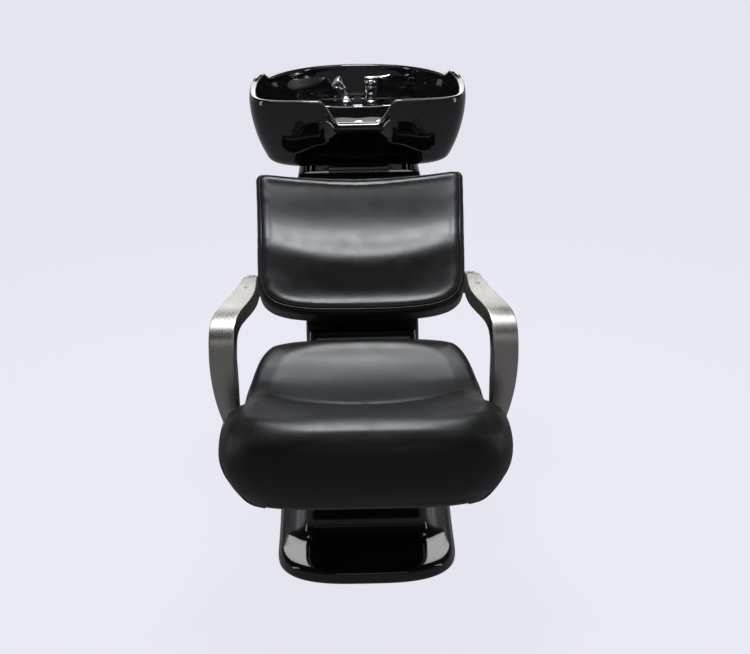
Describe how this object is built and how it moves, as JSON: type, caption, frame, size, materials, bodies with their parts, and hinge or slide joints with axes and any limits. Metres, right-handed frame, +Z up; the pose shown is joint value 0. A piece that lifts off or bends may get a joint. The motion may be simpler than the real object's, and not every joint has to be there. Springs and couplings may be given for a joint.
{
  "type": "shampoo backwash unit",
  "caption": "Salon backwash chair: padded seat and reclined back on a moulded pedestal, with steel band arms and a tilting glazed basin behind the headrest end.",
  "frame": {"origin": "centre of the bounding box on the floor", "axes": "+Z up, the sitter faces -Y, +X to the right seen from the front of the seat"},
  "size_m": [0.644, 1.349, 1.006],
  "materials": {
    "moulded_black": "high-gloss moulded fibreglass",
    "leather_black": "semi-matt upholstery with fine grain",
    "brushed_steel": "brushed along the band",
    "chrome": "polished plating",
    "glazed_black": "black glaze",
    "painted_steel": "satin black paint",
    "zinc_steel": "zinc-plated steel",
    "plywood": "raw plywood",
    "rubber_black": "matt",
    "plastic_grey": "moulded",
    "brass": "turned"
  },
  "bodies": {
    "pedestal": {"arm_front_bolt_left": "zinc_steel", "arm_front_bolt_right": "zinc_steel", "arm_left": "brushed_steel", "arm_plug_left": "plastic_grey", "arm_plug_right": "plastic_grey", "arm_rear_bolt_left": "zinc_steel", "arm_rear_bolt_right": "zinc_steel", "arm_right": "brushed_steel", "back_board": "plywood", "back_bracket": "painted_steel", "backrest_cushion": "leather_black", "foot_pad_fl": "rubber_black", "foot_pad_fr": "rubber_black", "foot_pad_rl": "rubber_black", "foot_pad_rr": "rubber_black", "inner_frame": "painted_steel", "panel_screw_1": "zinc_steel", "panel_screw_2": "zinc_steel", "panel_screw_3": "zinc_steel", "panel_screw_4": "zinc_steel", "pedestal_shell": "moulded_black", "seat_board": "plywood", "seat_bolt_1": "zinc_steel", "seat_bolt_2": "zinc_steel", "seat_bolt_3": "zinc_steel", "seat_bolt_4": "zinc_steel", "seat_cushion": "leather_black", "seat_frame": "painted_steel", "seat_underpan": "moulded_black", "service_panel": "moulded_black", "tilt_base": "zinc_steel", "tilt_bolt_1": "zinc_steel", "tilt_bolt_2": "zinc_steel", "tilt_bolt_3": "zinc_steel", "tilt_bolt_4": "zinc_steel", "tilt_pin": "zinc_steel"},
    "mixer_cap": {"mixer_cap": "chrome"},
    "mixer_lever": {"mixer_lever": "chrome"},
    "hand_shower": {"shower_handle": "chrome", "shower_head": "chrome", "spray_face": "plastic_grey", "hose_nipple": "brass"},
    "hair_strainer": {"hair_strainer": "chrome"},
    "basin_unit": {"basin": "glazed_black", "tilt_cradle": "zinc_steel", "waste_flange": "chrome", "waste_gasket": "rubber_black", "waste_locknut": "brass", "waste_tailpiece": "plastic_grey", "mixer_body": "chrome", "mixer_flange": "chrome", "mixer_locknut": "brass", "supply_tail_hot": "brass", "supply_tail_cold": "brass", "shower_holder": "chrome", "holder_locknut": "brass", "deck_cover": "chrome"}
  },
  "joints": [
    {"name": "basin_tilt", "type": "hinge", "parent": "pedestal", "child": "basin_unit", "pos_m": [0, 0.3155, 0.78], "axis": [1, 0, 0], "range_deg": [0, 12]},
    {"name": "mixer_swivel", "type": "hinge", "parent": "basin_unit", "child": "mixer_cap", "pos_m": [0.036, 0.5875, 0.9483], "axis": [0, 0, 1], "range_deg": [-50, 50]},
    {"name": "lever_lift", "type": "hinge", "parent": "mixer_cap", "child": "mixer_lever", "pos_m": [0.0195, 0.5875, 0.9675], "axis": [0, -1, 0], "range_deg": [0, 20]},
    {"name": "hand_shower_lift", "type": "slide", "parent": "basin_unit", "child": "hand_shower", "axis": [0, 0, 1], "range_m": [0, 0.1]},
    {"name": "strainer_lift", "type": "slide", "parent": "basin_unit", "child": "hair_strainer", "axis": [0, 0, 1], "range_m": [0, 0.05]}
  ]
}
